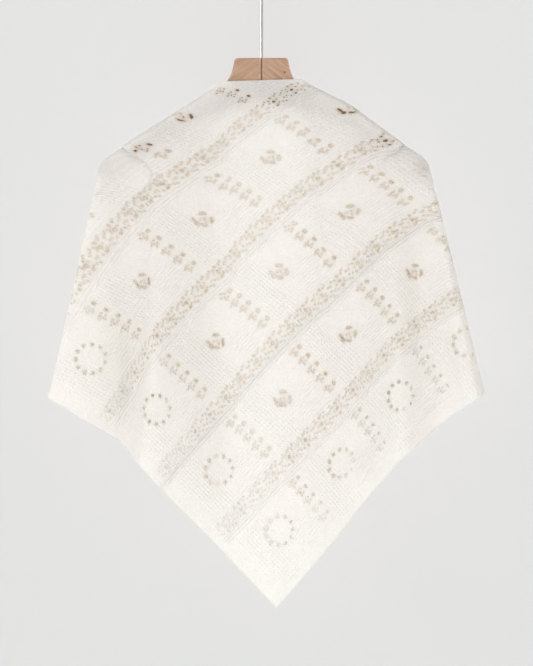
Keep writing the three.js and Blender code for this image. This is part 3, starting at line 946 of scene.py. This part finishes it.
@dataclass(frozen=True)
class LaceFinish:
    """Finish of the knitted cloth: white fluffy yarn that light passes through, with painted shade in the low parts of
    its relief and round its gaps.
    """

    name: str = "ivory_lace_yarn"
    # light is the yarn's colour on the high parts of its relief; deep is painted shade, its colour on the low parts.
    light: tuple = (0.982, 0.986, 0.985, 1)
    deep: tuple = (0.925, 0.908, 0.885, 1)
    # shade is painted shade, laid on the stitches round each gap by the rim mark.
    shade: tuple = (0.76, 0.63, 0.48, 1)
    through: tuple = (1.0, 0.972, 0.935, 1)
    roughness: float = 0.92
    sheen: float = 0.35
    glow: float = 0.58
    fine_mm: float = 3.045
    rib_mm: float = 4.4
    dash_mm: float = 6.1
    leg_mm: float = 1075.0

    def make(self) -> bpy.types.Material:
        """Builds the material.

        Returns:
            The material.
        """
        nodes = NodeBook(self.name)
        knit = nodes.add("ShaderNodeUVMap", uv_map=KNIT_MAP).outputs["UV"]
        split = nodes.add("ShaderNodeSeparateXYZ", {0: knit}).outputs
        garter, ground, rim = (
            nodes.add("ShaderNodeAttribute", attribute_name=name).outputs["Fac"] for name in ("garter", "ground", "rim")
        )
        fine = nodes.product(*(nodes.wave(split[axis], self.leg_mm / self.fine_mm) for axis in ("X", "Y")))
        rib_i, rib_j = (nodes.wave(split[axis], self.leg_mm / self.rib_mm) for axis in ("X", "Y"))
        dashes = nodes.sum(nodes.product(nodes.wave(split["X"], self.leg_mm / self.dash_mm), 0.45), 0.55)
        brick = nodes.product(nodes.product(rib_j, dashes), ground)
        ribs = nodes.sum(nodes.product(rib_i, garter), brick)
        fibre, tufts = nodes.sum(nodes.noise(1100.0, 2.0), -0.5), nodes.sum(nodes.noise(300.0, 3.0), -0.5)
        loft = nodes.sum(nodes.product(fibre, 1.6), nodes.product(tufts, 2.4))
        height = nodes.sum(nodes.sum(nodes.product(fine, 0.45), nodes.product(ribs, 1.05)), loft)
        # Painted shade: the yarn is darker where its relief is low, as in the hollows of the knit.
        yarn = nodes.mix(nodes.remap(height, -0.9, 0.9), self.deep, self.light)
        # Painted shade round the gaps, as deep as the rim mark says.
        shaded = nodes.mix(nodes.product(rim, rim), yarn, self.shade)
        bump = nodes.bump(height, 0.7, 0.0008)
        nodes.feed(nodes.shader, {
            "Base Color": shaded, "Normal": bump, "Roughness": self.roughness,
            "Sheen Weight": self.sheen, "Sheen Roughness": 0.6, "Specular IOR Level": 0.2,
        })
        warmed = nodes.mix(1.0, shaded, self.through, "MULTIPLY")
        nodes.blend(self.glow, nodes.add("ShaderNodeBsdfTranslucent", {"Color": warmed, "Normal": bump}))
        return nodes.material


@dataclass(frozen=True)
class FibreFinish:
    """Finish of the loose fibres: the same white, very soft."""

    name: str = "ivory_loose_fibre"
    colour: tuple = (0.97, 0.95, 0.93, 1)

    def make(self) -> bpy.types.Material:
        """Builds the material.

        Returns:
            The material.
        """
        nodes = NodeBook(self.name)
        nodes.feed(nodes.shader, {
            "Base Color": nodes.mottle(self.colour, 0.93, 90.0),
            "Roughness": 0.95, "Specular IOR Level": 0.1, "Sheen Weight": 0.5,
        })
        return nodes.material


@dataclass
class Shawl:
    """The worn lace cloth, as four pieces of one sheet, with its loose fibres."""

    cut: FlatCut = field(default_factory=FlatCut)
    form: WornForm = field(default_factory=WornForm)
    finish: LaceFinish = field(default_factory=LaceFinish)
    back_join: float = 242.0
    fibre_count: int = 22000
    edge_fibre_count: int = 9000
    fibre_length: tuple = (2.0, 5.5)
    fibre_half: float = 0.11
    fibre_seed: int = 7

    def build(self) -> list:
        """Knits, lays and divides the cloth.

        Returns:
            The cloth's pieces.
        """
        self.sheet = KnittedSheet(self.cut, LaceChart(self.cut), self.form)
        self.sheet.shell()
        self.material = self.finish.make()
        self.masks()
        pieces = [self.piece(part) for part in Part]
        pieces.append(self.fibres())
        return pieces

    def fibres(self) -> bpy.types.Object:
        """Adds the loose fibres that stand off the yarn, most of them along the edges.

        Returns:
            The fibres as one piece.
        """
        s = self.sheet
        draw = np.random.default_rng(self.fibre_seed)
        used = np.unique(s.faces)
        edge = np.minimum(np.minimum(s.i, s.j), (self.cut.leg - s.i - s.j) / math.sqrt(2))[used]
        near = used[edge < 2.5 * s.stitch]
        root = np.concatenate([draw.choice(used, self.fibre_count), draw.choice(near, self.edge_fibre_count)])
        count = len(root)
        side = np.where(draw.random(count) < 0.75, 1.0, -1.0)[:, None]
        normal = s.normals[root] * side
        wild = draw.normal(size=(count, 3))
        lean = unit(normal + 0.9 * wild)
        lean = unit(np.where((lean * normal).sum(1)[:, None] < 0.1, lean + normal, lean))
        length = draw.uniform(*self.fibre_length, count)[:, None]
        start = s.places[root] + normal * (s.wall / 2)
        across = unit(np.cross(lean, wild))
        third = np.cross(lean, across)
        ring = [start + self.fibre_half * (math.cos(a) * across + math.sin(a) * third)
                for a in (0, math.tau / 3, 2 * math.tau / 3)]
        corners = np.stack([*ring, start + lean * length], 1).reshape(-1, 3)
        base = np.arange(count)[:, None] * 4
        tris = np.concatenate([base + np.array(t) for t in ((0, 2, 1), (0, 1, 3), (1, 2, 3), (2, 0, 3))])
        mesh = bpy.data.meshes.new("shawl_fibres")
        mesh.from_pydata(corners * MM, [], tris.tolist())
        mesh.materials.append(FibreFinish().make())
        obj = add_object(mesh)
        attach(obj, "root")
        LOG.info("shawl_fibres: %d triangles", len(tris))
        return obj

    def masks(self) -> None:
        """Works out where the knitting is ribbed."""
        s = self.sheet
        u = (s.i - self.cut.margin) % self.cut.cell
        v = (s.j - self.cut.margin) % self.cut.cell
        self.garter = np.exp(-(((self.cut.cell - u - 16.5) / 6.5) ** 4)) + 0.4 * np.exp(-(((u - 13) / 3.5) ** 4))
        side = np.exp(-(((u - 34) / 22.0) ** 4)) * np.exp(-(((v - 88) / 26.0) ** 4))
        self.garter = np.clip(self.garter + 0.55 * side, 0, 1)
        self.ground = np.exp(-(((v - 32) / 24.0) ** 4)) * (1 - self.garter)
        plain = np.minimum(s.i, s.j) < self.cut.margin
        self.garter[plain] = 0
        self.ground[plain] = 0

    def part_of_faces(self) -> np.ndarray:
        """Says which piece each face belongs to.

        Returns:
            Numbers in the order of Part.
        """
        s = self.sheet
        ci, cj = s.i[s.faces].mean(1), s.j[s.faces].mean(1)
        p, q = self.cut.across(ci, cj)
        wing = s.wing_of(p, np.maximum(q, 0))
        return np.where(wing == -1, 2, np.where(wing == 1, 3, (ci > self.back_join).astype(int)))

    def piece(self, part: Part) -> bpy.types.Object:
        """Makes one piece as a closed shell.

        Args:
            part: which piece.

        Returns:
            The piece.
        """
        s = self.sheet
        mine = self.part_of_faces() == list(Part).index(part)
        faces, is_tri = s.faces[mine], s.is_tri[mine]
        used = np.unique(faces)
        number = np.full(len(s.i), -1)
        number[used] = np.arange(len(used))
        faces = number[faces]
        count = len(used)
        half = s.wall / 2
        lift = s.relief[used][:, None]
        outer = s.places[used] + s.normals[used] * (half + lift)
        inner = s.places[used] - s.normals[used] * (half + 0.4 * lift)
        polygons = [tuple(f[:3]) if t else tuple(f) for f, t in zip(faces.tolist(), is_tri)]
        edges = dict.fromkeys(edge for p in polygons for edge in zip(p, p[1:] + p[:1]))
        rim = [(a, b) for a, b in edges if (b, a) not in edges]
        up = [p[::-1] for p in polygons] if s.flipped else polygons
        down = [tuple(v + count for v in p[::-1]) for p in up]
        sides = [((b, a, a + count, b + count) if not s.flipped else (a, b, b + count, a + count)) for a, b in rim]
        mesh = bpy.data.meshes.new(part.value[0])
        mesh.from_pydata(np.concatenate([outer, inner]) * MM, [], up + down + sides)
        mesh.polygons.foreach_set("use_smooth", np.ones(len(mesh.polygons), bool))
        both = np.concatenate([used, used])
        layer = mesh.uv_layers.new(name=KNIT_MAP)
        corner = np.zeros(len(mesh.loops), int)
        mesh.loops.foreach_get("vertex_index", corner)
        uv = np.stack([s.i[both], s.j[both]], 1)[corner] / self.cut.leg
        layer.data.foreach_set("uv", uv.ravel().astype(np.float32))
        # The rim mark carries the painted shade round the gaps.
        for name, values in (("garter", self.garter), ("ground", self.ground), ("rim", s.rim)):
            attribute = mesh.attributes.new(name, "FLOAT", "POINT")
            attribute.data.foreach_set("value", values[both].astype(np.float32))
        mesh.normals_split_custom_set_from_vertices(s.soft_normals[:, used].reshape(-1, 3))
        obj = add_object(mesh)
        mesh.materials.append(self.material)
        triangles = sum(len(p) - 2 for p in up) * 2 + 2 * len(sides)
        LOG.info("%s: %d triangles", obj.name, triangles)
        flat = np.stack(self.cut.across(s.i[used], s.j[used]), 1)
        pts = np.stack([s.i, s.j], 1)[s.faces[mine]]
        size = np.abs(np.cross(pts[:, 2] - pts[:, 0], pts[:, 3] - pts[:, 1])) / 2
        size[is_tri] = np.abs(np.cross(pts[:, 1] - pts[:, 0], pts[:, 2] - pts[:, 0]))[is_tri] / 2
        area = float(size.sum()) * MM * MM
        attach(obj, "root")
        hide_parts(part.value[1])
        return obj


@dataclass(frozen=True)
class BeechFinish:
    """Finish of one half of the hanger: pale beech with fine slanting grain, short flecks and a knot."""

    name: str
    slope: float
    knot: tuple
    knot_radius: float = 0.0022
    stretch: tuple = (1 / 16, 1 / 90, 1 / 230)
    light: tuple = (0.425, 0.27, 0.185, 1)
    dark: tuple = (0.285, 0.17, 0.105, 1)
    heart: tuple = (0.12, 0.045, 0.02, 1)

    def make(self) -> bpy.types.Material:
        """Builds the material.

        Returns:
            The material.
        """
        nodes = NodeBook(self.name)
        squeeze = 0.6
        seen = nodes.add("ShaderNodeVectorMath", {0: nodes.place, 1: (squeeze, 0, 1)}, operation="MULTIPLY")
        spot = (squeeze * self.knot[0], 0, self.knot[1])
        away = nodes.add("ShaderNodeVectorMath", {0: seen.outputs["Vector"], 1: spot}, operation="DISTANCE")
        knot = nodes.remap(away.outputs["Value"], self.knot_radius, 0.0, kind="SMOOTHSTEP")
        turn = {"Vector": nodes.place, "Rotation": (0, self.slope, 0), "Scale": self.stretch}
        turned = nodes.add("ShaderNodeMapping", turn, vector_type="TEXTURE").outputs["Vector"]
        push = nodes.add("ShaderNodeCombineXYZ", {2: nodes.product(knot, 1.4)}).outputs["Vector"]
        bent = nodes.add("ShaderNodeVectorMath", {0: turned, 1: push}, operation="ADD").outputs["Vector"]
        rings, flecks = nodes.noise(2.2, 5.0, bent, 0.5), nodes.noise(9.0, 2.0, bent)
        grain = nodes.sum(nodes.product(rings, 0.75), nodes.product(flecks, 0.25))
        plank = nodes.mix(nodes.remap(grain, 0.36, 0.6), self.dark, self.light)
        nodes.feed(nodes.shader, {
            "Base Color": nodes.mix(nodes.product(knot, 0.95), plank, self.heart),
            "Roughness": nodes.remap(grain, 0.0, 1.0, (0.55, 0.42)),
            "Normal": nodes.bump(grain, 0.2, 0.0003), "Specular IOR Level": 0.4,
        })
        return nodes.material


@dataclass(frozen=True)
class WireFinish:
    """Finish of the hook: drawn steel wire, a little dull with age."""

    name: str = "drawn_steel_wire"
    colour: tuple = (0.27, 0.245, 0.22, 1)

    def make(self) -> bpy.types.Material:
        """Builds the material.

        Returns:
            The material.
        """
        nodes = NodeBook(self.name)
        rough = nodes.remap(nodes.noise(260.0, 4.0), 0.0, 1.0, (0.24, 0.42))
        nodes.feed(nodes.shader, {"Base Color": self.colour, "Metallic": 1.0, "Roughness": rough})
        return nodes.material


@dataclass
class HookWire:
    """The hook: one wire, straight out of the wood, then bent round the rail to a rounded tip."""

    wire: float = 4.0
    inner: float = 19.0
    neck: float = 12.0
    end: float = 196.0
    foot: float = -162.0
    sides: int = 20

    def build(self) -> bpy.types.Object:
        """Draws the wire out of a disc, bends it and rounds its tip.

        Returns:
            The hook.
        """
        reach = self.inner + self.wire / 2
        bend = math.acos(self.neck / (self.neck + reach))
        bend_z = -self.inner - (self.neck + reach) * math.sin(bend)
        bpy.ops.object.select_all(action="DESELECT")
        bpy.ops.mesh.primitive_circle_add(
            vertices=self.sides, radius=self.wire / 2 * MM, fill_type="NGON", location=(0, 0, self.foot * MM)
        )
        hook = bpy.context.active_object
        hook.name = hook.data.name = "hook_wire"
        bpy.ops.object.transform_apply(location=True, rotation=True, scale=True)
        bpy.ops.object.mode_set(mode="EDIT")
        bpy.ops.mesh.select_all(action="SELECT")
        for length in (0.9, 0.1):
            rise = (bend_z - self.foot) * length * MM
            bpy.ops.mesh.extrude_region_move(TRANSFORM_OT_translate={"value": (0, 0, rise)})
        bpy.ops.mesh.spin(steps=12, angle=bend, center=(self.neck * MM, 0, bend_z * MM), axis=(0, -1, 0))
        turn = math.radians(self.end) + bend
        bpy.ops.mesh.spin(steps=56, angle=turn, center=(0, 0, -self.inner * MM), axis=(0, 1, 0))
        self.round_tip(reach)
        bpy.ops.mesh.select_all(action="SELECT")
        bpy.ops.mesh.remove_doubles(threshold=1e-6)
        bpy.ops.mesh.normals_make_consistent(inside=False)
        bpy.ops.object.mode_set(mode="OBJECT")
        bpy.ops.object.shade_smooth_by_angle(angle=math.radians(50))
        hook.data.materials.append(WireFinish().make())
        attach(hook, "root")
        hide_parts("hanger_hook")
        LOG.info("%s: %d faces", hook.name, len(hook.data.polygons))
        return hook

    def round_tip(self, reach: float) -> None:
        """Draws the end face on to a rounded tip.

        Args:
            reach: radius of the hook's middle line.
        """
        angle = math.radians(self.end)
        onward = np.array([-math.sin(angle), 0, math.cos(angle)])
        centre = np.array([reach * math.cos(angle), 0, reach * math.sin(angle) - self.inner])
        radius, before, wide = self.wire / 2, 0.0, 1.0
        for lift in (30, 55, 75):
            ahead, narrow = radius * math.sin(math.radians(lift)), math.cos(math.radians(lift))
            step = onward * (ahead - before) * MM
            bpy.ops.mesh.extrude_region_move(TRANSFORM_OT_translate={"value": tuple(step)})
            bpy.ops.transform.resize(value=(narrow / wide,) * 3, center_override=tuple((centre + onward * ahead) * MM))
            before, wide = ahead, narrow


@dataclass
class Hanger:
    """The two wooden halves, with the grain of one plank opened like a book, and the wire hook."""

    nodes: dict
    grain_slope: float = 0.62

    def build(self) -> list:
        """Dresses the halves and makes the hook.

        Returns:
            Its pieces.
        """
        for name, side in (("hanger_wood_left", -1), ("hanger_wood_right", 1)):
            wood = self.nodes[name]
            knot = (0.0300, -0.1509) if side > 0 else (-0.118, -0.222)
            wood.data.materials.clear()
            wood.data.materials.append(BeechFinish("beech" + name[11:], side * self.grain_slope, knot).make())
            LOG.info("%s: beech", name)
        return [self.nodes["hanger_wood_left"], self.nodes["hanger_wood_right"], HookWire().build()]


@dataclass
class Setting:
    """Wall, floor, lights and camera."""

    target: tuple = (0.0065, -0.015, -0.4913)
    distance: float = 2.6
    frame_height: float = 0.866

    def camera(self) -> None:
        """Places the camera square to the back of the shawl."""
        data = bpy.data.cameras.new("camera")
        data.sensor_width = 36.0
        data.lens = 36.0 * self.distance / self.frame_height
        cam = bpy.data.objects.new("camera", data)
        cam.location = (self.target[0], self.target[1] - self.distance, self.target[2])
        cam.rotation_euler = (math.radians(90), 0, 0)
        bpy.context.scene.collection.objects.link(cam)
        bpy.context.scene.camera = cam

    def stage_plane(self, name: str, size: float, colour: tuple) -> bpy.types.Object:
        """Adds a plain plane that only its front shows.

        Args:
            name: the plane's name.
            size: its side.
            colour: its colour.

        Returns:
            The plane, lying flat at the origin.
        """
        bpy.ops.object.select_all(action="DESELECT")
        bpy.ops.mesh.primitive_plane_add(size=size)
        plane = bpy.context.active_object
        plane.name = name
        paint = NodeBook(name + "_paint")
        mottled = paint.mottle(colour, 0.97, 3.0)
        paint.feed(paint.shader, {"Base Color": mottled, "Roughness": 0.95, "Specular IOR Level": 0.1})
        behind = paint.add("ShaderNodeNewGeometry").outputs["Backfacing"]
        paint.blend(behind, paint.add("ShaderNodeBsdfTransparent"))
        plane.data.materials.append(paint.material)
        return plane

    def build(self, lit: list) -> None:
        """Sets everything up.

        Args:
            lit: the object's pieces, which the window lights.
        """
        self.camera()
        wall = self.stage_plane("wall", 6.0, (0.735, 0.745, 0.757, 1))
        wall.rotation_euler = (math.radians(90), 0, 0)
        wall.location = (0, 0.085, 0)
        floor = self.stage_plane("floor", 8.0, (0.72, 0.72, 0.72, 1))
        floor.location = (0, 0, -1.2)
        world = bpy.data.worlds.new("room")
        world.use_nodes = True
        sky = world.node_tree.nodes["Background"].inputs
        sky["Color"].default_value, sky["Strength"].default_value = (1.0, 0.978, 0.95, 1), 0.64
        bpy.context.scene.world = world
        cool = (0.92, 0.964, 1.0)
        pieces = self.group("object_pieces", lit)
        fronts = self.group("front_pieces", [obj for obj in lit if "wing" in obj.name or "hanger" in obj.name])
        lamps = [
            (self.light("window", (-3.2, -2.6, -1.1), 0.45, 1.95, cool), pieces),
            (self.light("high_window", (-2.6, 0.6, 2.4), 0.3, 1.2, cool), pieces),
            (self.light("right_fill", (3.2, -2.2, -0.6), 0.6, 1.55, cool), pieces),
            (self.light("front_window", (1.9, 3.0, 0.5), 0.4, 1.5, cool), fronts),
            (self.light("wire_glint", (-3.0, -1.2, -0.3), 0.5, 5.0, cool), self.group("wire", [lit[-1]])),
            (self.panel("low_left_panel", (-0.75, -1.3, -1.15), -30, 66, 9.5), pieces),
            (self.panel("low_right_panel", (1.0, -1.2, -1.0), 40, 72, 5.0), pieces),
        ]
        for lamp, receivers in lamps:
            lamp.light_linking.receiver_collection = receivers
            lamp.light_linking.blocker_collection = pieces
        wash = self.light("wall_wash", (-0.8, -3.0, -1.0), 0.5, 1.62, (1.0, 0.992, 0.98))
        wash.data.use_shadow = False
        wash.light_linking.receiver_collection = self.group("stage_pieces", [wall, floor])
        view = bpy.context.scene.view_settings
        view.view_transform = "Standard"
        view.look = "None"

    @staticmethod
    def group(name: str, objects: list) -> bpy.types.Collection:
        """Gathers objects for light linking.

        Args:
            name: the group's name.
            objects: what it holds.

        Returns:
            The group.
        """
        collection = bpy.data.collections.new(name)
        for obj in objects:
            collection.objects.link(obj)
        return collection

    @staticmethod
    def hang(data: bpy.types.Light, place: tuple, power: float, colour: tuple, turn: tuple) -> bpy.types.Object:
        """Puts a light in the room.

        Args:
            data: the light's own settings.
            place: where it stands.
            power: its strength.
            colour: its colour.
            turn: its rotation.

        Returns:
            The light.
        """
        data.energy, data.color = power, colour
        lamp = bpy.data.objects.new(data.name, data)
        lamp.location, lamp.rotation_euler = place, turn
        bpy.context.scene.collection.objects.link(lamp)
        return lamp

    def panel(self, name: str, place: tuple, turn: float, tilt: float, power: float) -> bpy.types.Object:
        """Adds a soft panel low in front of the shawl, which lifts its lower half.

        Args:
            name: its name.
            place: where it stands.
            turn: degrees about the upright.
            tilt: degrees up from facing the floor.
            power: its power in watts.

        Returns:
            The light.
        """
        data = bpy.data.lights.new(name, "AREA")
        data.size = 0.9
        return self.hang(data, place, power, (1.0, 0.995, 0.99), (math.radians(tilt), 0, math.radians(turn)))

    def light(self, name: str, place: tuple, spread: float, power: float, colour: tuple) -> bpy.types.Object:
        """Adds a large soft light aimed at the shawl.

        Args:
            name: its name.
            place: where it stands.
            spread: how wide it looks from the shawl, in radians.
            power: its strength.
            colour: its colour.

        Returns:
            The light.
        """
        data = bpy.data.lights.new(name, "SUN")
        data.angle = spread
        aim = np.array(self.target) - np.array(place)
        tilt = math.atan2(math.hypot(aim[0], aim[1]), -aim[2])
        return self.hang(data, place, power, colour, (tilt, 0, math.atan2(aim[1], aim[0]) - math.pi / 2))


def plain(bounds: tuple) -> list:
    """Turns a box into plain lists."""
    return [[float(c) for c in corner] for corner in bounds]


def main() -> None:
    """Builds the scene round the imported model."""
    logging.basicConfig(level=logging.INFO, format="%(name)s %(message)s")
    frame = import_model()
    pieces = Shawl().build()
    pieces += Hanger(frame["nodes"]).build()
    Setting().build(pieces)
    bpy.context.view_layer.update()


if __name__ == "__main__":
    main()
